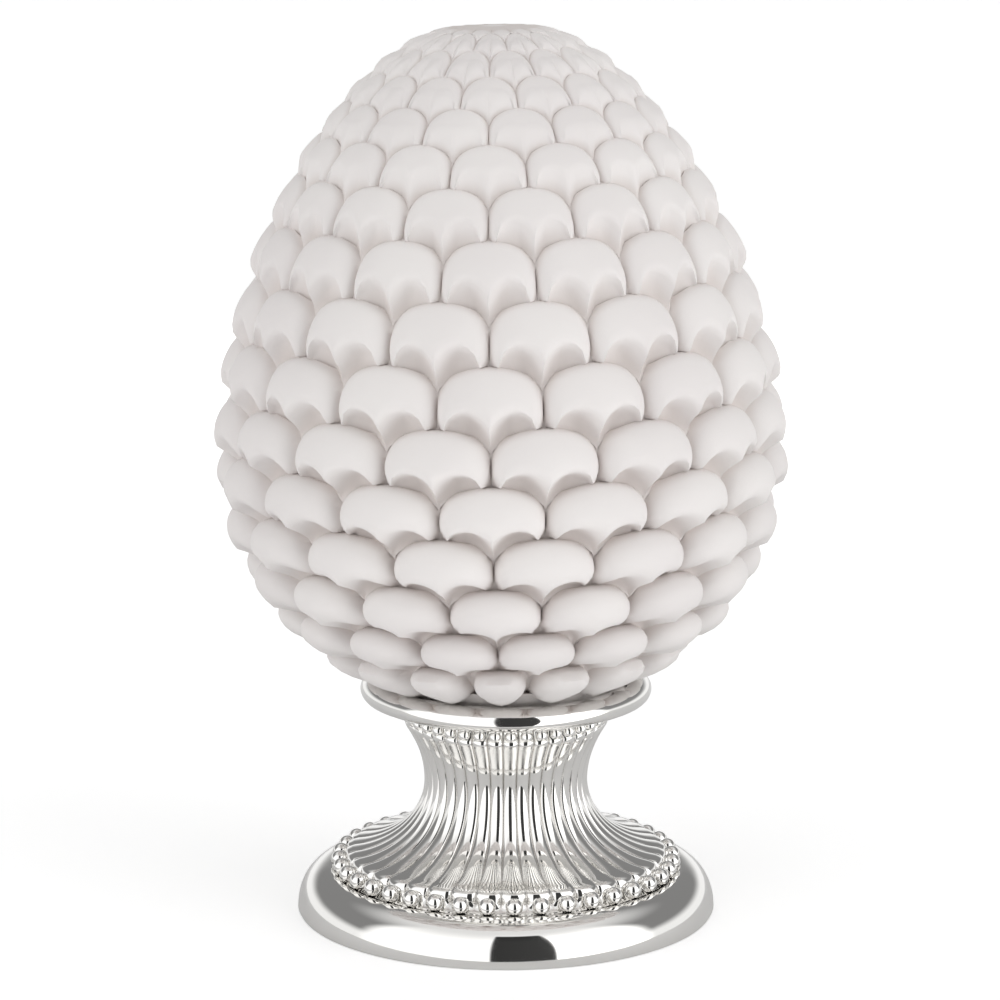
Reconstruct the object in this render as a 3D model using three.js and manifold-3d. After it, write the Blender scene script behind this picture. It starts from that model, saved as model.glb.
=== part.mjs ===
// A white ceramic pinecone seated in the dish of a polished metal foot, in mm, standing on z = 0 with its front toward -y.
// Azimuths are in degrees from the front toward +x.

import * as THREE from "three";
import Module from "manifold-3d";

// Base moulding: a full quarter round that swells outward toward the ground
const baseRadius = 71.3;
const baseUnderside = 69.6;
const baseRoundCentre = -0.5;
const baseRoundStart = 4;
const baseFullness = 0.87;
const baseTopRadius = 59.5;
const baseTopHeight = 14.5;

// Reeded stem: a trumpet that narrows from the flare to the neck and opens again at the throat
const reedCount = 40;
const reedAzimuth = 2.7;
const reedDepthShare = 0.28;
const flareRadius = 56.4;
const flareHeight = 20.8;
const neckRadius = 27.8;
const neckHeight = 45;
const throatRadius = 34.2;
const throatHeight = 64.6;

// One bead closes each reed at either end
const lowerBeadSize = 6.2;
const lowerBeadRing = 57;
const upperBeadSize = 4.4;
const upperBeadRing = 33.6;
const beadSinkShare = 0.75;
const beadBedding = 0.6;

// Dish with a rounded lip; the cone sits on its floor
const dishUnderRadius = 36;
const dishUnderHeight = 70;
const lipRadius = 49.2;
const lipHeight = 77;
const lipUnderAngle = -50;
const crestRadius = 44.6;
const crestHeight = 81;
const floorRadius = 38.8;
const floorHeight = 79;

// Cone: an egg, widest below its middle
const seatClearance = 0.3;
const seatRadius = 37;
const collarRadius = 42;
const collarRise = 5.4;
const coneHeight = 220.7;
const coneRadius = 96.3;
const coneLean = 1.1;
const widestShare = 0.379;
const lowerReachShare = 0.411;
const lowerFullness = 2.15;
const upperReachShare = 0.632;
const upperFullness = 1.6;
const crownRadius = 13;
const crownDip = 0.4;

// Scales: rows stand at nearly equal angles round the middle of the egg and wander a little up and down, as set by
// hand, each turned half a scale from the row below
const rowCount = 16;
const scalesPerRow = 16;
const evenRowAzimuth = 9.2;
const rowCentreShare = 0.478;
const rowReachShare = 0.506;
const firstRowAngle = -55.2;
const lastRowAngle = 88.2;
const rowAngleBend = 10.6;
const rowWander = 1.26;
const wanderStart = 3.28;
const wanderRun = 6.1;
const archShareLow = 0.177;
const archShareHigh = 0.297;
const archGrowth = 1.78;
const archRoundness = 0.65;
const archCrownShare = 0.6;
const valleyDepthLow = 14;
const valleyDepthHigh = 1.5;

// Each scale is a pillow, rounder across and rolled in more at its top edge in the low rows than in the high ones
const roundRow = 3;
const flatRow = 9;
const sideFullnessLow = 2.1;
const sideFullnessHigh = 2.6;
const rollLow = 0.94;
const rollHigh = 0.76;
const tuck = 0.8;
const knobTuck = 0.55;
const knobWidthShare = 0.88;
const knobTipRise = 1.4;
const knobPoint = 4;

// Two scoops over the row below, from the row given, grow taller up the cone and meet in a dip at the centre
const firstScoopRow = 4;
const scoopShare = 0.165;
const scoopGrowth = 0.045;
const scoopCentre = 0.45;
const scoopDipReach = 0.48;
const scoopSideReach = 0.41;
const scoopRimLow = 6.4;
const scoopRimHigh = 0.9;
const scoopLeast = 0.6;
const stepShare = 0.08;

const ivory = { color: 0xe6e1dd, roughness: 0.75, metalness: 0 };
const silver = { color: 0xc9c9c7, roughness: 0.12, metalness: 1 };

const columnsPerScale = 4;
const lastPillowRow = 7;
const lastScoopRow = 12;
const pillowShare = 0.4;
const lipSteps = 3;
const mouldingSteps = 4;
const lowerReedSteps = 3;
const upperReedSteps = 2;
const plainSides = 40;

const wasm = await Module();
wasm.setup();

const radians = THREE.MathUtils.degToRad;
const mix = THREE.MathUtils.lerp;
const clamp = THREE.MathUtils.clamp;

const coneFoot = floorHeight + seatClearance;
const coneTop = coneFoot + coneHeight;

// Triangles of a closed skin: rings of equal point counts from the bottom to the top, with a pole at either end.
// Bumps repeat every run of sides and are centred on the ring's own side number. The sides left and right of a centre
// are cut along mirrored diagonals, so that each bump is symmetrical.
function skin(bottom, rings, top, run, centres) {
  const sides = rings[0].length;
  const points = [bottom, ...rings.flat(), top];
  const last = points.length - 1;
  const at = (ring, side) => 1 + ring * sides + (side % sides);
  const faces = [];
  for (let side = 0; side < sides; side++) {
    faces.push([0, at(0, side + 1), at(0, side)]);
    for (let ring = 0; ring + 1 < rings.length; ring++) {
      const low = [at(ring, side), at(ring, side + 1)];
      const high = [at(ring + 1, side), at(ring + 1, side + 1)];
      if ((side + run - centres[ring + 1]) % run < run / 2) {
        faces.push([low[0], low[1], high[0]], [low[1], high[1], high[0]]);
      } else {
        faces.push([low[0], low[1], high[1]], [low[0], high[1], high[0]]);
      }
    }
    faces.push([at(rings.length - 1, side), at(rings.length - 1, side + 1), last]);
  }
  return { points, faces };
}

// A point at a radius and height, on the azimuth given in radians
function polar(radius, height, azimuth) {
  return [radius * Math.sin(azimuth), -radius * Math.cos(azimuth), height];
}

// A plain turned solid from an outline of [radius, height] pairs
function turned(outline, bottomHeight, topHeight) {
  const rings = outline.map(([radius, height]) => {
    const ring = [];
    for (let side = 0; side < plainSides; side++) {
      ring.push(polar(radius, height, (2 * Math.PI * side) / plainSides));
    }
    return ring;
  });
  const centres = rings.map(() => 0);
  return skin([0, 0, bottomHeight], rings, [0, 0, topHeight], plainSides, centres);
}

// Points of an elliptical arc, from one angle to another in degrees, both ends included
function arc(centreRadius, centreHeight, radiusReach, heightReach, from, to, steps) {
  const points = [];
  for (let step = 0; step <= steps; step++) {
    const angle = radians(mix(from, to, step / steps));
    points.push([
      centreRadius + radiusReach * Math.cos(angle),
      centreHeight + heightReach * Math.sin(angle),
    ]);
  }
  return points;
}

// Outline of the base round, fuller than an ellipse by a power of the sine and cosine
function baseRound() {
  const points = [];
  for (let step = 0; step <= mouldingSteps; step++) {
    const angle = radians(mix(baseRoundStart, 90, step / mouldingSteps));
    points.push([
      mix(baseTopRadius, baseRadius, Math.max(0, Math.cos(angle)) ** baseFullness),
      mix(baseRoundCentre, baseTopHeight, Math.sin(angle) ** baseFullness),
    ]);
  }
  return points;
}

function solid({ points, faces }) {
  const mesh = new wasm.Mesh({
    numProp: 3,
    vertProperties: Float32Array.from(points.flat()),
    triVerts: Uint32Array.from(faces.flat()),
  });
  return new wasm.Manifold(mesh);
}

function geometryOf(vertices, triangles) {
  const geometry = new THREE.BufferGeometry();
  geometry.setAttribute("position", new THREE.Float32BufferAttribute(vertices, 3));
  geometry.setIndex(Array.from(triangles));
  geometry.computeVertexNormals();
  return geometry;
}

// Base moulding
const moulding = turned([[baseUnderside, 0], ...baseRound()], 0, baseTopHeight);

// Reeded stem: crests and valleys alternate round it, and the bead rows stand at its two ends
const lowerBeadHeight = baseTopHeight + lowerBeadSize / 2 - beadBedding;
const upperBeadHeight = dishUnderHeight - upperBeadSize / 2 - beadBedding / 2;

function reedLine(crest, height) {
  return { crest, valley: crest - (reedDepthShare * 2 * Math.PI * crest) / reedCount, height };
}

function beadLines(ring, size, height) {
  const valley = ring - beadSinkShare * (size / 2);
  const side = ring + 0.25 * size * (1 - beadSinkShare);
  return [
    { crest: side, valley, height: height - size / 2 },
    { crest: ring + size / 2, valley, height },
    { crest: side, valley, height: height + size / 2 },
  ];
}

function stemLines() {
  const lines = beadLines(lowerBeadRing, lowerBeadSize, lowerBeadHeight);
  for (let step = 0; step <= lowerReedSteps; step++) {
    const angle = (Math.PI / 2) * (step / lowerReedSteps);
    lines.push(
      reedLine(
        flareRadius - (flareRadius - neckRadius) * Math.sin(angle),
        neckHeight - (neckHeight - flareHeight) * Math.cos(angle),
      ),
    );
  }
  for (let step = 1; step <= upperReedSteps; step++) {
    const rise = Math.sqrt(step / upperReedSteps);
    lines.push(
      reedLine(
        neckRadius + (throatRadius - neckRadius) * rise * rise,
        mix(neckHeight, throatHeight, rise),
      ),
    );
  }
  return lines.concat(beadLines(upperBeadRing, upperBeadSize, upperBeadHeight));
}

function stemRing({ crest, valley, height }) {
  const ring = [];
  for (let side = 0; side < 2 * reedCount; side++) {
    const azimuth = radians(reedAzimuth) + (Math.PI * side) / reedCount;
    ring.push(polar(side % 2 === 0 ? crest : valley, height, azimuth));
  }
  return ring;
}

const stemRings = stemLines().map(stemRing);
const stem = skin(
  [0, 0, lowerBeadHeight - lowerBeadSize / 2],
  stemRings,
  [0, 0, upperBeadHeight + upperBeadSize / 2],
  2,
  stemRings.map(() => 0),
);

// Dish
const dish = turned(
  [
    [dishUnderRadius - upperBeadSize, dishUnderHeight - upperBeadSize / 2],
    [dishUnderRadius, dishUnderHeight],
    ...arc(
      crestRadius,
      lipHeight,
      lipRadius - crestRadius,
      crestHeight - lipHeight,
      lipUnderAngle,
      90,
      lipSteps,
    ),
    [(crestRadius + floorRadius) / 2, mix(floorHeight, crestHeight, 0.7)],
    [floorRadius, floorHeight],
  ],
  dishUnderHeight - upperBeadSize / 2,
  floorHeight,
);

const footMesh = solid(moulding).add(solid(stem)).add(solid(dish)).getMesh();
const foot = new THREE.Mesh(
  geometryOf(footMesh.vertProperties, footMesh.triVerts),
  new THREE.MeshStandardMaterial(silver),
);
foot.name = "foot";

// Radius of the egg that the fullest point of every scale touches
function eggRadius(height) {
  const offset = height - coneFoot - widestShare * coneHeight;
  if (offset < 0) {
    const share = Math.min(1, -offset / (lowerReachShare * coneHeight));
    return coneRadius * (1 - share ** lowerFullness) ** (1 / lowerFullness);
  }
  const share = Math.min(1, offset / (upperReachShare * coneHeight));
  return coneRadius * Math.sqrt(1 - share ** upperFullness);
}

// Share of the way from the lowest row to the highest
function rowShare(row) {
  return (row - 1) / (rowCount - 1);
}

// Height at which two neighbouring scales of a row meet
function rowHeight(row) {
  const share = rowShare(row);
  const angle = mix(firstRowAngle, lastRowAngle, share) + rowAngleBend * share * (1 - share);
  const wander = rowWander * Math.cos((2 * Math.PI * (row - wanderStart)) / wanderRun);
  return coneFoot + coneHeight * (rowCentreShare + rowReachShare * Math.sin(radians(angle))) + wander;
}

// Height of the middle of a scale's rounded top edge
function archTop(row) {
  const meeting = rowHeight(row);
  const width = (2 * Math.PI * eggRadius(meeting)) / scalesPerRow;
  const rise = mix(archShareLow, archShareHigh, rowShare(row) ** archGrowth) * width;
  return meeting + Math.min(rise, archCrownShare * (coneTop - meeting));
}

function valleyDepth(height) {
  const share = (height - rowHeight(1)) / (rowHeight(rowCount) - rowHeight(1));
  return mix(valleyDepthLow, valleyDepthHigh, clamp(share, 0, 1));
}

// Share across a scale of the row: 0 on its centre, 1 where it meets its neighbour
function shareAcross(row, azimuth) {
  const pitch = (2 * Math.PI) / scalesPerRow;
  const centre = radians(evenRowAzimuth) + (row % 2 === 0 ? 0 : pitch / 2);
  const turn = (azimuth - centre) / pitch;
  return Math.min(1, 2 * Math.abs(turn - Math.round(turn)));
}

// Height of the top edge of a row; row 0 is the pointed underside of the lowest knobs
function edgeHeight(row, azimuth) {
  const across = shareAcross(row, azimuth);
  if (row === 0) {
    return coneFoot + knobTipRise + knobPoint * (1 - across);
  }
  return mix(rowHeight(row), archTop(row), (1 - across * across) ** archRoundness);
}

// Height of the lowest point of a row's scales
function bottomHeight(row) {
  return row === 1 ? coneFoot + knobTipRise : rowHeight(row - 1);
}

// Height of the brow over the two scoops of a scale
function browHeight(row, azimuth) {
  const across = shareAcross(row, azimuth);
  const reach = across < scoopCentre ? scoopDipReach : scoopSideReach;
  const bow = Math.sqrt(Math.max(0, 1 - ((across - scoopCentre) / reach) ** 2));
  const share = scoopShare + scoopGrowth * (row - firstScoopRow);
  const brow = archTop(row - 1) + share * (rowHeight(row) - rowHeight(row - 1)) * bow;
  const rim = edgeHeight(row, azimuth) - mix(scoopRimLow, scoopRimHigh, rowShare(row));
  return Math.max(Math.min(brow, rim), edgeHeight(row - 1, azimuth) + scoopLeast);
}

// How far the face of a scale lies inside the egg at a height, as a share of the valley depth
function faceInset(row, azimuth, height) {
  const flatness = clamp((row - roundRow) / (flatRow - roundRow), 0, 1);
  const bottom = bottomHeight(row);
  const offset = (2 * (height - bottom)) / (archTop(row) - bottom) - 1;
  const under = row === 1 ? knobTuck : tuck;
  const roll = offset < 0 ? under : mix(rollLow, rollHigh, flatness);
  const across = Math.min(1, shareAcross(row, azimuth) / (row === 1 ? knobWidthShare : 1));
  const side = across ** mix(sideFullnessLow, sideFullnessHigh, flatness);
  return 1 - Math.sqrt(Math.max(0, 1 - side - roll * offset * offset));
}

function facePoint(row, azimuth, height) {
  const radius = eggRadius(height) - valleyDepth(height) * faceInset(row, azimuth, height);
  return polar(radius, height, azimuth);
}

// The foot of a scale lies a step behind the top edge of the row below
function footPoint(row, azimuth) {
  const height = edgeHeight(row - 1, azimuth);
  const inset = Math.max(
    faceInset(row, azimuth, height),
    faceInset(row - 1, azimuth, height) + stepShare,
  );
  return polar(eggRadius(height) - valleyDepth(height) * inset, height, azimuth);
}

// Turns a point about the seat toward -x by the lean of the cone
function lean([x, y, z]) {
  const angle = radians(coneLean);
  const rise = z - coneFoot;
  return [
    x * Math.cos(angle) - rise * Math.sin(angle),
    y,
    coneFoot + x * Math.sin(angle) + rise * Math.cos(angle),
  ];
}

function coneRing(place) {
  const ring = [];
  for (let column = 0; column < scalesPerRow * columnsPerScale; column++) {
    const turn = column / (scalesPerRow * columnsPerScale);
    ring.push(place(radians(evenRowAzimuth) + 2 * Math.PI * turn));
  }
  return ring;
}

// Heights of the rings that cross the face of a row's scales, from the lowest to the top edge
function faceLines(row) {
  const brow = (azimuth) => browHeight(row, azimuth);
  const edge = (azimuth) => edgeHeight(row, azimuth);
  if (row < firstScoopRow) {
    return [() => (bottomHeight(row) + archTop(row)) / 2, edge];
  }
  if (row <= lastPillowRow) {
    return [brow, (azimuth) => mix(brow(azimuth), edge(azimuth), pillowShare), edge];
  }
  return row <= lastScoopRow ? [brow, edge] : [edge];
}

// Rings of the cone from its seat to its crown, and the column on which the scales of each are centred
function coneRings() {
  const collarHeight = coneFoot + collarRise;
  const rings = [
    coneRing((azimuth) => polar(seatRadius, coneFoot, azimuth)),
    coneRing((azimuth) => lean(polar(collarRadius, collarHeight, azimuth))),
    coneRing((azimuth) => lean(facePoint(1, azimuth, edgeHeight(0, azimuth)))),
  ];
  const rows = [1, 1, 1];
  for (let row = 1; row <= rowCount; row++) {
    if (row > 1) {
      rings.push(coneRing((azimuth) => lean(footPoint(row, azimuth))));
      rows.push(row - 1);
    }
    for (const height of faceLines(row)) {
      rings.push(coneRing((azimuth) => lean(facePoint(row, azimuth, height(azimuth)))));
      rows.push(row);
    }
  }
  rings.push(coneRing((azimuth) => lean(polar(crownRadius, coneTop - crownDip, azimuth))));
  rows.push(rowCount);
  return { rings, centres: rows.map((row) => (row % 2 === 0 ? 0 : columnsPerScale / 2)) };
}

const { rings, centres } = coneRings();
const coneSkin = skin([0, 0, coneFoot], rings, lean([0, 0, coneTop]), columnsPerScale, centres);
const pinecone = new THREE.Mesh(
  geometryOf(coneSkin.points.flat(), coneSkin.faces.flat()),
  new THREE.MeshStandardMaterial(ivory),
);
pinecone.name = "pinecone";

const finial = new THREE.Group();
finial.name = "pinecone_finial";
finial.add(foot, pinecone);
export default finial;
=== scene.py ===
"""A white ceramic pinecone on a polished silver foot, lit softly and seen from a little above."""

import math

import bpy
import numpy as np
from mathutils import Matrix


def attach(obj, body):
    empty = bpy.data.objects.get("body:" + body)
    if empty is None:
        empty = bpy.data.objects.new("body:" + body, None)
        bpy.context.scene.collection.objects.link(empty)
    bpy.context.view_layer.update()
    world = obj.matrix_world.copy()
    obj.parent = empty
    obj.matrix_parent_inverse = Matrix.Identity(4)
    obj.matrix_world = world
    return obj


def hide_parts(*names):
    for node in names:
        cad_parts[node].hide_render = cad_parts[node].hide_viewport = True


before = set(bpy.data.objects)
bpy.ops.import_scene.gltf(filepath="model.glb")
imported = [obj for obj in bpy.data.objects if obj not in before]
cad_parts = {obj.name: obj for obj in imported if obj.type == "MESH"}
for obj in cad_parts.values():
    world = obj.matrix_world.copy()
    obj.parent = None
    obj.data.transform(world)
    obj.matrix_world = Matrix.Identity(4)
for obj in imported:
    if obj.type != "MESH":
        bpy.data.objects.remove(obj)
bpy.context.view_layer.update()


# Polished foot: one hollow metal casting, silver plated and buffed to a mirror. A quarter-round base
# carries a trumpet of forty convex reeds, each closed by a bead at both ends, under a dish with a
# rolled lip. Sizes are in millimetres, and a pair or a row of an outline is a radius and a height.
MM = 0.001
REEDS = 40
REED_AZIMUTH = math.radians(2.7)
REED_COLUMNS = 14
REED_DEPTH_SHARE = 0.28
REED_SWEEP = 0.995
BASE_CENTRE = (59.5, -0.5)
BASE_REACH = (11.8, 15.0)
BASE_FULLNESS = 2.3
BASE_EDGE = [[69.6, 0.0], [70.8, 0.12]]
COVE = [[59.0, 14.4], [58.6, 14.1], [57.2, 14.2], [55.9, 14.8], [55.1, 15.8]]
TONGUE_CENTRE = (53.4, 18.0)
TONGUE_REACH = (1.8, 2.9)
TONGUE_REED_WEIGHT = 0.7
WAIST_RADIUS = 27.8
WAIST_HEIGHT = 45.0
FLARE_REACH = (28.6, 24.2)
FLARE_RADIUS_LIMIT = 53.6
THROAT_REACH = (6.4, 19.6)
NECK_END = [[34.7, 65.8], [34.5, 66.6], [33.4, 67.3]]
DISH_UNDERSIDE = [
    [32.6, 69.6],
    [33.6, 70.2],
    [35.6, 70.7],
    [38.6, 71.3],
    [41.6, 71.9],
    [44.4, 72.6],
    [46.2, 73.3],
]
LIP_CENTRE = (44.8, 77.0)
LIP_REACH = (4.6, 4.0)
DISH_FLOOR = 79.0
DISH_WALL_REACH = (6.0, 2.0)
FOOT_CRISP_DEG = 50
LOWER_BEAD_RING = 57.0
LOWER_BEAD_SIZE = 5.9
LOWER_BEAD_HEIGHT = 16.9
UPPER_BEAD_RING = 33.6
UPPER_BEAD_SIZE = 4.1
UPPER_BEAD_HEIGHT = 68.2
BEAD_BANDS = 12
BEAD_SIDES = 20


def arc(centre, reach, start, end, steps, power=1.0):
    """Points of an elliptical arc in the radius and height plane, between two angles in degrees.

    A power under 1 makes it fuller than an ellipse, by that power of its sine and cosine.
    """
    angle = np.radians(np.linspace(start, end, steps))
    wave = np.stack([np.cos(angle), np.sin(angle)], -1)
    return np.array(centre) + np.array(reach) * np.sign(wave) * np.abs(wave) ** power


def flare():
    """The lower half of the trumpet: a quarter ellipse that opens from the waist down to the tongue."""
    angle = np.radians(np.linspace(8, 90, 22))
    radius = WAIST_RADIUS + FLARE_REACH[0] * (1 - np.sin(angle))
    height = WAIST_HEIGHT - FLARE_REACH[1] * np.cos(angle)
    return np.stack([radius, height], -1)[radius < FLARE_RADIUS_LIMIT]


def throat():
    """The upper half of the trumpet: its radius grows with the square of the height over the waist."""
    rise = np.linspace(0.08, 1, 14)
    radius = WAIST_RADIUS + THROAT_REACH[0] * rise**2
    return np.stack([radius, WAIST_HEIGHT + THROAT_REACH[1] * rise], -1)


def foot_rings():
    """The foot as rings: a turned profile whose stem is drawn in between the reeds.

    Across a reed the share s runs from -1 to 1, and the skin lies behind the crest by the reed's depth
    times 1 - sqrt(1 - s^2), so that neighbours meet in a sharp valley. Columns crowd toward the valleys.
    Returns the points and how deep each lies in a valley.
    """
    even = np.arange(REEDS * REED_COLUMNS) / REED_COLUMNS
    turn = even + 0.5 * np.sin(2 * np.pi * even) / (2 * np.pi)
    azimuth = REED_AZIMUTH + turn * 2 * np.pi / REEDS
    share = 2 * np.abs(turn - np.round(turn))
    hollow = 1 - np.sqrt(np.clip(1 - (REED_SWEEP * share) ** 2, 0, 1))
    plain = 0.0
    reeded = 1.0
    parts = [
        (BASE_EDGE, plain),
        (arc(BASE_CENTRE, BASE_REACH, start=4, end=90, steps=22, power=2 / BASE_FULLNESS), plain),
        (COVE, plain),
        (arc(TONGUE_CENTRE, TONGUE_REACH, start=-25, end=62, steps=7), TONGUE_REED_WEIGHT),
        (flare(), reeded),
        (throat(), reeded),
        (NECK_END, reeded),
        (DISH_UNDERSIDE, plain),
        (arc(LIP_CENTRE, LIP_REACH, start=-48, end=90, steps=26), plain),
        (arc((LIP_CENTRE[0], DISH_FLOOR), DISH_WALL_REACH, start=96, end=172, steps=8), plain),
    ]
    outline = np.concatenate([part for part, _ in parts])
    weight = np.concatenate([np.full(len(part), weight) for part, weight in parts])
    depth = weight * REED_DEPTH_SHARE * 2 * np.pi * outline[:, 0] / REEDS
    radius = outline[:, :1] - depth[:, None] * hollow[None, :]
    height = np.repeat(outline[:, 1:], len(azimuth), axis=1)
    rings = np.stack([radius * np.sin(azimuth), -radius * np.cos(azimuth), height], -1)
    return rings, weight[:, None] * hollow[None, :]


def closed_surface(name, rings, bottom, top, crisp_deg, **attributes):
    """An object from rings of points (rings, columns, 3) in mm, closed round and by a pole at either end.

    Faces are quads between neighbouring rings and fans to the poles. Edges sharper than crisp_deg stay
    crisp. Each attribute is one number per ring point, kept on the mesh for its material.
    """
    count, sides, _ = rings.shape
    points = np.concatenate([rings.reshape(-1, 3), [bottom, top]]) * MM
    at = np.arange(count * sides).reshape(count, sides)
    right = np.roll(at, -1, axis=1)
    quads = np.stack([at[:-1], right[:-1], right[1:], at[1:]], -1).reshape(-1, 4)
    pole = np.full(sides, count * sides)
    lower_fan = np.stack([pole, right[0], at[0]], -1)
    upper_fan = np.stack([pole + 1, at[-1], right[-1]], -1)
    mesh = bpy.data.meshes.new(name)
    mesh.from_pydata(points.tolist(), [], quads.tolist() + lower_fan.tolist() + upper_fan.tolist())
    mesh.shade_smooth()
    mesh.set_sharp_from_angle(angle=math.radians(crisp_deg))
    for key, values in attributes.items():
        layer = mesh.attributes.new(key, "FLOAT", "POINT")
        layer.data.foreach_set("value", np.append(values.ravel(), [0.0, 0.0]).astype(np.float32))
    piece = bpy.data.objects.new(name, mesh)
    bpy.context.scene.collection.objects.link(piece)
    return piece


def bead_ring(name, ring, size, height):
    """Forty beads as one object: spheres of the given diameter on a circle, one on each reed.

    A sphere is the sines and cosines of its latitude and longitude times half its diameter.
    """
    latitude = np.linspace(0, np.pi, BEAD_BANDS + 1)[1:-1]
    longitude = np.arange(BEAD_SIDES) * 2 * np.pi / BEAD_SIDES
    east = np.outer(np.sin(latitude), np.cos(longitude))
    north = np.outer(np.sin(latitude), np.sin(longitude))
    up = np.outer(np.cos(latitude), np.ones(BEAD_SIDES))
    belt = np.stack([east, north, up], -1).reshape(-1, 3)
    ball = np.concatenate([belt, [[0, 0, 1], [0, 0, -1]]]) * size / 2
    at = np.arange(len(belt)).reshape(-1, BEAD_SIDES)
    right = np.roll(at, -1, axis=1)
    quads = np.stack([at[:-1], at[1:], right[1:], right[:-1]], -1).reshape(-1, 4)
    pole = np.full(BEAD_SIDES, len(belt))
    fans = np.concatenate(
        [np.stack([pole, at[0], right[0]], -1), np.stack([pole + 1, right[-1], at[-1]], -1)]
    )
    azimuth = REED_AZIMUTH + np.arange(REEDS) * 2 * np.pi / REEDS
    centres = np.stack([ring * np.sin(azimuth), -ring * np.cos(azimuth), np.full(REEDS, height)], -1)
    points = (centres[:, None, :] + ball).reshape(-1, 3) * MM
    first = np.arange(REEDS)[:, None, None] * len(ball)
    faces = (quads + first).reshape(-1, 4).tolist() + (fans + first).reshape(-1, 3).tolist()
    mesh = bpy.data.meshes.new(name)
    mesh.from_pydata(points.tolist(), [], faces)
    mesh.shade_smooth()
    piece = bpy.data.objects.new(name, mesh)
    bpy.context.scene.collection.objects.link(piece)
    return piece


class Value:
    """A number socket in a shader, so that shader maths reads as plain arithmetic."""

    def __init__(self, shader, socket):
        self.shader = shader
        self.socket = socket

    def _math(self, operation, *others):
        added = self.shader.node("ShaderNodeMath", {"operation": operation}, [self, *others])
        return Value(self.shader, added)

    def __add__(self, other):
        return self._math("ADD", other)

    def __sub__(self, other):
        return self._math("SUBTRACT", other)

    def __mul__(self, other):
        return self._math("MULTIPLY", other)

    def __truediv__(self, other):
        return self._math("DIVIDE", other)

    def __pow__(self, other):
        return self._math("POWER", other)

    __radd__ = __add__
    __rmul__ = __mul__

    def __rsub__(self, other):
        return self * -1.0 + other

    def above(self, low, high):
        """0 below low, 1 above high, and a smooth ramp between."""
        settings = {"interpolation_type": "SMOOTHSTEP"}
        inputs = {"Value": self, "From Min": low, "From Max": high}
        return Value(self.shader, self.shader.node("ShaderNodeMapRange", settings, inputs))


class Shader:
    """A material's node tree with one principled surface."""

    def __init__(self, name):
        self.material = bpy.data.materials.new(name)
        self.material.use_nodes = True
        self.tree = self.material.node_tree
        self.surface = self.tree.nodes["Principled BSDF"]
        self.coordinates = self.node("ShaderNodeTexCoord", {}, {}, "Object")

    def node(self, kind, settings, inputs, output=0):
        """Adds a node, sets its settings and inputs, and gives one of its outputs."""
        added = self.tree.nodes.new(kind)
        for key, value in settings.items():
            setattr(added, key, value)
        pairs = inputs.items() if isinstance(inputs, dict) else enumerate(inputs)
        for key, value in pairs:
            self.feed(added.inputs[key], value)
        return added.outputs[output]

    def feed(self, socket, value):
        """Links a socket or Value to an input, or sets it to a constant."""
        if isinstance(value, Value):
            value = value.socket
        if isinstance(value, bpy.types.NodeSocket):
            self.tree.links.new(value, socket)
        else:
            socket.default_value = value

    def noise(self, scale, detail=2.0):
        """Noise over the object, near 0 to 1, with its scale in cells per metre."""
        inputs = {"Vector": self.coordinates, "Scale": scale, "Detail": detail}
        return Value(self, self.node("ShaderNodeTexNoise", {}, inputs))

    def attribute(self, name):
        """A number kept on the mesh points."""
        return Value(self, self.node("ShaderNodeAttribute", {"attribute_name": name}, {}, "Fac"))

    def light_path(self, kind):
        """1 for a ray of that kind, such as Is Camera Ray, and 0 for the others."""
        return Value(self, self.node("ShaderNodeLightPath", {}, {}, kind))

    def blend(self, share, first, second):
        """The first colour where share is 0 and the second where it is 1."""
        inputs = {0: share, 6: first, 7: second}
        return self.node("ShaderNodeMix", {"data_type": "RGBA"}, inputs, 2)

    def bump(self, height, strength, distance, normal=None):
        """A normal raised by height, in metres at distance."""
        inputs = {"Height": height, "Strength": strength, "Distance": distance}
        if normal is not None:
            inputs["Normal"] = normal
        return self.node("ShaderNodeBump", {}, inputs)


rings, hollow = foot_rings()
bottom = [0, 0, 0]
top = [0, 0, DISH_FLOOR]
foot = closed_surface("silver_foot", rings, bottom, top, FOOT_CRISP_DEG, valley=hollow)
lower_beads = bead_ring("lower_beads", LOWER_BEAD_RING, LOWER_BEAD_SIZE, LOWER_BEAD_HEIGHT)
upper_beads = bead_ring("upper_beads", UPPER_BEAD_RING, UPPER_BEAD_SIZE, UPPER_BEAD_HEIGHT)

BRIGHT_SILVER = (0.86, 0.85, 0.83, 1)
DULL_SILVER = (0.42, 0.40, 0.38, 1)
silver = Shader("silver")
tarnish = silver.attribute("valley") ** 2.0 * 0.6
wear = silver.noise(60.0, 4.0).above(0.35, 0.75)
ripple = silver.noise(45.0, 1.0)
silver.feed(silver.surface.inputs["Base Color"], silver.blend(tarnish, BRIGHT_SILVER, DULL_SILVER))
silver.feed(silver.surface.inputs["Metallic"], 1.0)
silver.feed(silver.surface.inputs["Roughness"], wear * 0.05 + 0.04)
silver.feed(silver.surface.inputs["Normal"], silver.bump(ripple, 0.25, 0.0004))
for piece in (foot, lower_beads, upper_beads):
    piece.data.materials.append(silver.material)
    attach(piece, "root")
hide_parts("foot")


# Ceramic pinecone: one hollow slip casting in matte white biscuit, seated in the dish. Sixteen rows of
# sixteen rounded scales climb it, each row half a scale round from the last. Two thumb-marks are
# scooped out of the foot of every scale, just over the row below, and leave a low ridge between them.
ROWS = 16
SCALES = 16
PITCH = 2 * math.pi / SCALES
EVEN_AZIMUTH = math.radians(9.2)
SEAT = 79.3
HEIGHT = 220.7
LEAN = math.radians(1.1)
COLLAR = [[30.0, 0.0], [37.0, 0.0], [39.5, 2.4], [41.5, 5.4]]
CROWN = [[13.0, -0.4], [6.0, -0.1]]
CONE_CRISP_DEG = 48
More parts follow.
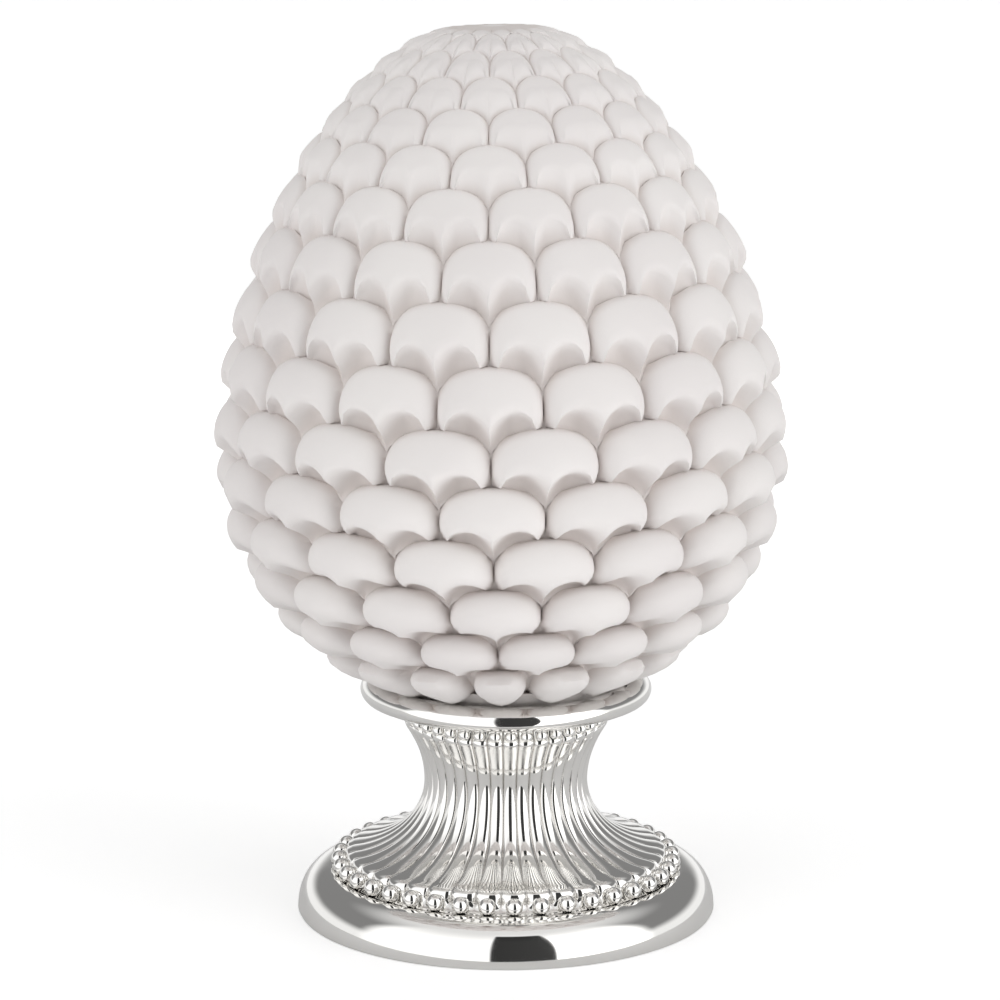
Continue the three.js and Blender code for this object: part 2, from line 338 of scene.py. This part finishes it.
# The egg, with its widest place and its reach down and up as shares of the height
RADIUS = 96.3
EGG_WIDEST = 0.379
EGG_REACH_DOWN = 0.411
EGG_REACH_UP = 0.632
EGG_POWER_DOWN = 2.15
EGG_POWER_UP = 1.6
# The rows, by angles in degrees round a middle at a share of the height, and their wander in mm and rows
ROW_FIRST_ANGLE = -55.2
ROW_LAST_ANGLE = 88.2
ROW_ANGLE_BULGE = 10.6
ROW_MIDDLE = 0.478
ROW_REACH = 0.506
WANDER = 1.26
WANDER_ROWS = 6.1
WANDER_START = 3.28
# The arches, with their rise as a share of a scale's width in the lowest row and in the highest
ARCH_RISE = (0.177, 0.297)
ARCH_RISE_POWER = 1.78
ARCH_ROUNDNESS = 0.65
ARCH_CROWN_SHARE = 0.8
KNOB_TIP = SEAT + 1.2
KNOB_POINT = 4
VALLEY_LOWEST = 14.5
VALLEY_HIGHEST = 2.5
LIP_SHARE = 0.1
LIP_MOST = 2
LIP_ANGLES = (0.45, 0.95, 1.5)
# The scoops, with places and reaches as shares of half a scale's width and heights as shares of a row
SCOOP_CENTRE = 0.45
SCOOP_REACH_IN = 0.48
SCOOP_REACH_OUT = 0.38
SCOOP_HOLLOW_REACH = 0.37
SCOOP_ROUNDNESS = 0.6
SCOOP_HEIGHT = 0.19
SCOOP_GROWTH = 0.038
SCOOP_DEPTH = 0.085
RIM_ABOVE_BROW = (8, 0.9)
# How a scale changes up the cone: rows, and the value in each of them
FOOT_FOLLOWS_ROW_BELOW = ([1, 2, 4, 7], [1, 0.9, 0.5, 0])
FOOT_ROLL = ([1, 2, 5, 9], [0.6, 0.96, 0.92, 0.82])
TOP_ROLL = ([1, 4, 8, 11], [0.96, 0.94, 0.84, 0.78])
FACE_FLATNESS = ([1, 2, 4, 9], [3.0, 2.2, 2.3, 2.6])
SCALE_COLUMNS = 24


def egg_radius(height):
    """Radius of the egg that the fullest point of every scale touches.

    It is a superellipse below its widest place and another one above.
    """
    offset = height - SEAT - EGG_WIDEST * HEIGHT
    low = np.clip(-offset / (EGG_REACH_DOWN * HEIGHT), 0, 1)
    high = np.clip(offset / (EGG_REACH_UP * HEIGHT), 0, 1)
    below = (1 - low**EGG_POWER_DOWN) ** (1 / EGG_POWER_DOWN)
    return RADIUS * np.where(offset < 0, below, np.sqrt(1 - high**EGG_POWER_UP))


def up_the_cone(row, first, last, power=1):
    """A value that runs from the lowest row to the highest."""
    return first + (last - first) * ((row - 1) / (ROWS - 1)) ** power


def row_height(row):
    """Height at which two neighbouring scales of a row meet.

    Rows stand at nearly equal angles round the egg's middle, and wander a little up and down.
    """
    share = (row - 1) / (ROWS - 1)
    angle = up_the_cone(row, ROW_FIRST_ANGLE, ROW_LAST_ANGLE) + ROW_ANGLE_BULGE * share * (1 - share)
    wander = WANDER * np.cos(2 * np.pi * (row - WANDER_START) / WANDER_ROWS)
    return SEAT + HEIGHT * (ROW_MIDDLE + ROW_REACH * np.sin(np.radians(angle))) + wander


def arch_top(row):
    """Height of the middle of a scale's rounded top edge, kept under the crown in the last row."""
    meeting = row_height(row)
    rise = up_the_cone(row, *ARCH_RISE, ARCH_RISE_POWER) * PITCH * egg_radius(meeting)
    return meeting + min(rise, ARCH_CROWN_SHARE * (SEAT + HEIGHT - meeting))


def valley_depth(height):
    """How far the valleys between scales lie inside the egg: less and less up the cone."""
    share = (height - row_height(1)) / (row_height(ROWS) - row_height(1))
    return VALLEY_LOWEST + (VALLEY_HIGHEST - VALLEY_LOWEST) * np.clip(share, 0, 1)


def across(row, azimuth):
    """0 on the centre of a scale, 1 where it meets its neighbour."""
    turn = (azimuth - EVEN_AZIMUTH) / PITCH - (0.5 if row % 2 else 0.0)
    return 2 * np.abs(turn - np.round(turn))


def edge_height(row, azimuth):
    """Top edge of a row: full arches side by side. Row 0 is the pointed underside of the lowest knobs."""
    a = across(row, azimuth)
    if row == 0:
        return KNOB_TIP + KNOB_POINT * (1 - a)
    return row_height(row) + (arch_top(row) - row_height(row)) * (1 - a * a) ** ARCH_ROUNDNESS


def brow_height(row, azimuth):
    """Top of the two scoops: arcs side by side that dip to the ridge and end short of the sides.

    In the top rows the arcs reach over the centre and the ridge fades out.
    """
    a = across(row, azimuth)
    low = edge_height(row - 1, azimuth)
    if row == 1:
        return low + 0.6
    reach_in = SCOOP_REACH_IN + 0.6 * np.clip((row - 10) / 3, 0, 1)
    offset = (a - SCOOP_CENTRE) / np.where(a < SCOOP_CENTRE, reach_in, SCOOP_REACH_OUT)
    bow = np.clip(1 - offset**2, 0, 1) ** SCOOP_ROUNDNESS
    share = SCOOP_HEIGHT + SCOOP_GROWTH * max(0, row - 3)
    brow = arch_top(row - 1) + share * (row_height(row) - row_height(row - 1)) * bow
    rim = edge_height(row, azimuth) - up_the_cone(row, *RIM_ABOVE_BROW)
    return np.maximum(np.minimum(brow, rim), low + 0.35)


def face_inset(row, azimuth, height):
    """How far a scale's face lies inside the egg, as a share of the valley depth, away from its scoops.

    A scale is a pillow: 1 - sqrt(1 - a^n - k u^2), where a runs across it, n flattens it more in high
    rows than in low ones, u runs from 0 at mid height to 1 at its foot and at the middle of its top
    edge, and k is how far it rolls in.
    """
    bottom = KNOB_TIP if row == 1 else row_height(row - 1)
    middle = (bottom + arch_top(row)) / 2
    follow = np.interp(row, *FOOT_FOLLOWS_ROW_BELOW)
    highest_foot = 0.4 * bottom + 0.6 * middle
    foot_height = bottom + follow * (np.minimum(edge_height(row - 1, azimuth), highest_foot) - bottom)
    u = (height - middle) / np.where(height < middle, middle - foot_height, arch_top(row) - middle)
    k = np.where(u < 0, np.interp(row, *FOOT_ROLL), np.interp(row, *TOP_ROLL))
    a = np.clip(across(row, azimuth) / (0.88 if row == 1 else 1.0), 0, 1)
    n = np.interp(row, *FACE_FLATNESS)
    return 1 - np.sqrt(np.clip(1 - a**n - k * u * u, 0, 1))


def cone_rings():
    """The cone as rings that follow the scalloped edges of the rows.

    Each row springs from behind the edge of the row below. The rings climb its two scoops to their brow,
    cross the pillow of the scale and roll over its top edge. Columns crowd toward the middle of a scale
    and toward its neighbour. Also returns how deep each point lies under the egg.
    """
    half = SCALE_COLUMNS / 2
    even = np.arange(SCALES * SCALE_COLUMNS) / half
    turn = even - 0.5 * np.sin(2 * np.pi * even) / (2 * np.pi)
    azimuth = EVEN_AZIMUTH + turn * PITCH / 2
    radii = []
    heights = []
    brow_softness = []
    ridge_softness = []

    def add(radius, height, brow_soft=0, ridge_soft=0):
        radii.append(radius + 0 * azimuth)
        heights.append(height + 0 * azimuth)
        brow_softness.append(brow_soft + 0 * azimuth)
        ridge_softness.append(ridge_soft + 0 * azimuth)

    for radius, rise in COLLAR:
        add(radius, SEAT + rise)
    for row in range(1, ROWS + 1):
        a = across(row, azimuth)
        low = edge_height(row - 1, azimuth)
        brow = brow_height(row, azimuth)
        edge = edge_height(row, azimuth)
        spacing = row_height(row) - row_height(row - 1)
        lip = min(LIP_MOST, LIP_SHARE * spacing)
        brow_radius = egg_radius(brow) - valley_depth(brow) * face_inset(row, azimuth, brow)
        foot_height = low if row == 1 else low - 0.05 * spacing
        foot_inset = face_inset(row, azimuth, foot_height)
        foot_radius = egg_radius(foot_height) - valley_depth(foot_height) * foot_inset
        if row > 1:
            # The foot lies just behind the rim of the row below, and fills the end of the groove there
            rim_inset = np.minimum(face_inset(row - 1, azimuth, low), 0.8)
            rim_radius = egg_radius(foot_height) - valley_depth(foot_height) * rim_inset - 0.7 * lip
            scoop = np.clip(1 - ((a - SCOOP_CENTRE) / SCOOP_HOLLOW_REACH) ** 2, 0, 1)
            foot_radius = np.minimum(foot_radius, rim_radius - 0.3 - SCOOP_DEPTH * spacing * scoop)
        power = 1.6 + 2.4 * np.clip(a / 0.35, 0, 1)
        ridge = 0.6 * np.clip((0.3 - a) / 0.15, 0, 1)
        scoop_steps = 7 if 2 < row < 12 else 4
        for share in np.linspace(0, 1, scoop_steps, endpoint=False):
            radius = foot_radius + (brow_radius - foot_radius) * share**power
            height = foot_height + (brow - foot_height) * share
            add(radius, height, 0.15 * (share > 0.8), ridge * (share > 0))
        for share in np.linspace(0, 1, 7):
            height = brow + (edge - lip - brow) * share
            radius = egg_radius(height) - valley_depth(height) * face_inset(row, azimuth, height)
            add(radius, height, 0.3 * (share == 0) + 0.15 * (0 < share < 0.2), ridge * (share == 0))
        for angle in LIP_ANGLES:
            height = edge - lip * (1 - np.sin(angle))
            inset = valley_depth(height) * face_inset(row, azimuth, height)
            add(egg_radius(height) - inset - lip * (1 - np.cos(angle)), height)
    for radius, rise in CROWN:
        add(radius, SEAT + HEIGHT + rise)
    radius = np.array(radii)
    height = np.array(heights)
    # The brows are sponged round, and so are the ridges between the scoops
    for _ in range(2):
        along = (np.roll(radius, 1, 0) + np.roll(radius, -1, 0)) / 2
        radius = radius + np.array(brow_softness) * (along - radius)
        beside = (np.roll(radius, 1, 1) + np.roll(radius, -1, 1)) / 2
        radius = radius + np.array(ridge_softness) * (beside - radius)
    rings = np.stack([radius * np.sin(azimuth), -radius * np.cos(azimuth), height], -1)
    # Only the two rings of the flat seat keep level
    leaning = rings[2:].copy()
    rise = leaning[:, :, 2] - SEAT
    rings[2:, :, 0] = leaning[:, :, 0] * math.cos(LEAN) - rise * math.sin(LEAN)
    rings[2:, :, 2] = SEAT + leaning[:, :, 0] * math.sin(LEAN) + rise * math.cos(LEAN)
    depth = np.clip((egg_radius(height) - radius) / valley_depth(height), 0, 1.2)
    return rings, depth


rings, depth = cone_rings()
bottom = [0, 0, SEAT]
top = [-HEIGHT * math.sin(LEAN), 0, SEAT + HEIGHT * math.cos(LEAN)]
cone = closed_surface("ceramic_pinecone", rings, bottom, top, CONE_CRISP_DEG, crevice=depth)

WARM_WHITE = (0.82, 0.79, 0.775, 1)
COOL_WHITE = (0.78, 0.745, 0.735, 1)
# The darker white of the painted shade in the creases
CREVICE_SHADE_WHITE = (0.66, 0.60, 0.57, 1)
ceramic = Shader("ceramic")
cloud = ceramic.noise(18.0, 3.0).above(0.3, 0.7)
body = ceramic.blend(cloud, WARM_WHITE, COOL_WHITE)
# Painted shade: the deeper a point lies under the egg, between the scales and in the scoops, the more its
# white is darkened
painted_crevice_shade = ceramic.attribute("crevice").above(0.45, 1.1) * 0.65
grain = ceramic.noise(900.0, 3.0)
wave = ceramic.noise(120.0)
waved = ceramic.bump(wave, 0.25, 0.0008)
ceramic.feed(ceramic.surface.inputs["Base Color"], ceramic.blend(painted_crevice_shade, body, CREVICE_SHADE_WHITE))
ceramic.feed(ceramic.surface.inputs["Roughness"], grain * 0.15 + 0.62)
ceramic.feed(ceramic.surface.inputs["Normal"], ceramic.bump(grain, 0.2, 0.0002, waved))
cone.data.materials.append(ceramic.material)
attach(cone, "root")
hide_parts("pinecone")


# Studio: a pale floor in a tent of white cloth, lit by two soft boxes at the sides of a dark slot in
# front, where the camera looks in. Behind it a pale backdrop stands low under a dim room. The camera
# itself sees plain white past the object.
TABLE_EDGE = 0.104
TABLE_SIDE = 6.0
FLOOR_GLOW = (0.42, 0.42, 0.42, 1)
bpy.ops.mesh.primitive_plane_add(size=TABLE_SIDE, location=(0, TABLE_SIDE / 2 - TABLE_EDGE, 0))
floor = bpy.context.object
floor.name = "floor"
paper = Shader("paper")
paper_white = paper.blend(paper.noise(4.0), (0.80, 0.80, 0.80, 1), (0.78, 0.78, 0.78, 1))
paper_glow = paper.blend(paper.light_path("Is Camera Ray"), (0, 0, 0, 1), FLOOR_GLOW)
paper.feed(paper.surface.inputs["Base Color"], paper_white)
paper.feed(paper.surface.inputs["Emission Color"], paper_glow)
paper.feed(paper.surface.inputs["Emission Strength"], 1.0)
paper.feed(paper.surface.inputs["Roughness"], 0.8)
floor.data.materials.append(paper.material)

LEFT = 1.3
RIGHT = 1.8
BACKDROP = 1.0
BEHIND = 0.25
ABOVE = 0.85
SLOT_AZIMUTH = math.radians(10)
SLOT_HALF_WIDTH = math.radians(19)
SLOT_TOP = math.sin(math.radians(60))
SLOT_DARKNESS = 0.97


class Sky(Shader):
    """The world's node tree, with the direction of a ray in place of a place on an object."""

    def __init__(self, name):
        self.world = bpy.data.worlds.new(name)
        self.world.use_nodes = True
        self.tree = self.world.node_tree
        self.surface = self.tree.nodes["Background"]
        self.coordinates = self.node("ShaderNodeTexCoord", {}, {}, "Generated")


sky = Sky("tent")
bpy.context.scene.world = sky.world
parts = sky.node("ShaderNodeSeparateXYZ", {}, [sky.coordinates]).node.outputs
east, north, up = (Value(sky, parts[axis]) for axis in range(3))
south = north * -1.0
front = south.above(0.0, 0.2)
side = east.above(-0.3, 0.5) * (RIGHT - LEFT) + LEFT
back = (1.0 - up.above(0.12, 0.32)) * (BACKDROP - BEHIND) + BEHIND
cloth = front * (side - back) + back
crown = up.above(0.6, 0.95)
tent = cloth * (1.0 - crown) + crown * ABOVE
# The slot lies where east over south keeps near the tangent of its azimuth
slot_offset = (east / south - math.tan(SLOT_AZIMUTH)) / math.tan(SLOT_HALF_WIDTH)
slot_sides = 1.0 - (slot_offset * slot_offset).above(0.85, 1.0)
slot = slot_sides * south.above(0.0, 0.1) * (1.0 - up.above(SLOT_TOP - 0.03, SLOT_TOP))
level = tent * (1.0 - slot * SLOT_DARKNESS)
seen = sky.light_path("Is Camera Ray")
sky.feed(sky.surface.inputs["Color"], (1, 1, 1, 1))
sky.feed(sky.surface.inputs["Strength"], level * (1.0 - seen) + seen)

# A fill light behind, unseen by the camera and in the silver, keeps the back of the cone from going dark
fill_data = bpy.data.lights.new("fill", "AREA")
fill_data.energy = 3.5
fill_data.size = 0.8
fill = bpy.data.objects.new("fill", fill_data)
fill.location = (0, 1.3, 0.45)
fill.rotation_euler = (math.radians(-77), 0, 0)
fill.visible_camera = False
fill.visible_glossy = False
bpy.context.scene.collection.objects.link(fill)

bpy.context.scene.view_settings.view_transform = "Standard"

# Camera: the photograph's square frame, in pixels, and the point in the middle of it, in metres
FRAME_PIXELS = 1000
FOCAL_PIXELS = 3600
METRES_PER_PIXEL = 0.000336
DISTANCE = FOCAL_PIXELS * METRES_PER_PIXEL
PITCH_DOWN = math.radians(11.3)
AIM_X = -0.0020
AIM_HEIGHT = 0.1415
camera_data = bpy.data.cameras.new("camera")
camera_data.sensor_width = 36
camera_data.lens = camera_data.sensor_width * FOCAL_PIXELS / FRAME_PIXELS
camera = bpy.data.objects.new("camera", camera_data)
reach = DISTANCE * math.cos(PITCH_DOWN)
rise = DISTANCE * math.sin(PITCH_DOWN)
camera.location = (AIM_X, -reach, AIM_HEIGHT + rise)
camera.rotation_euler = (math.pi / 2 - PITCH_DOWN, 0, 0)
bpy.context.scene.collection.objects.link(camera)
bpy.context.scene.camera = camera
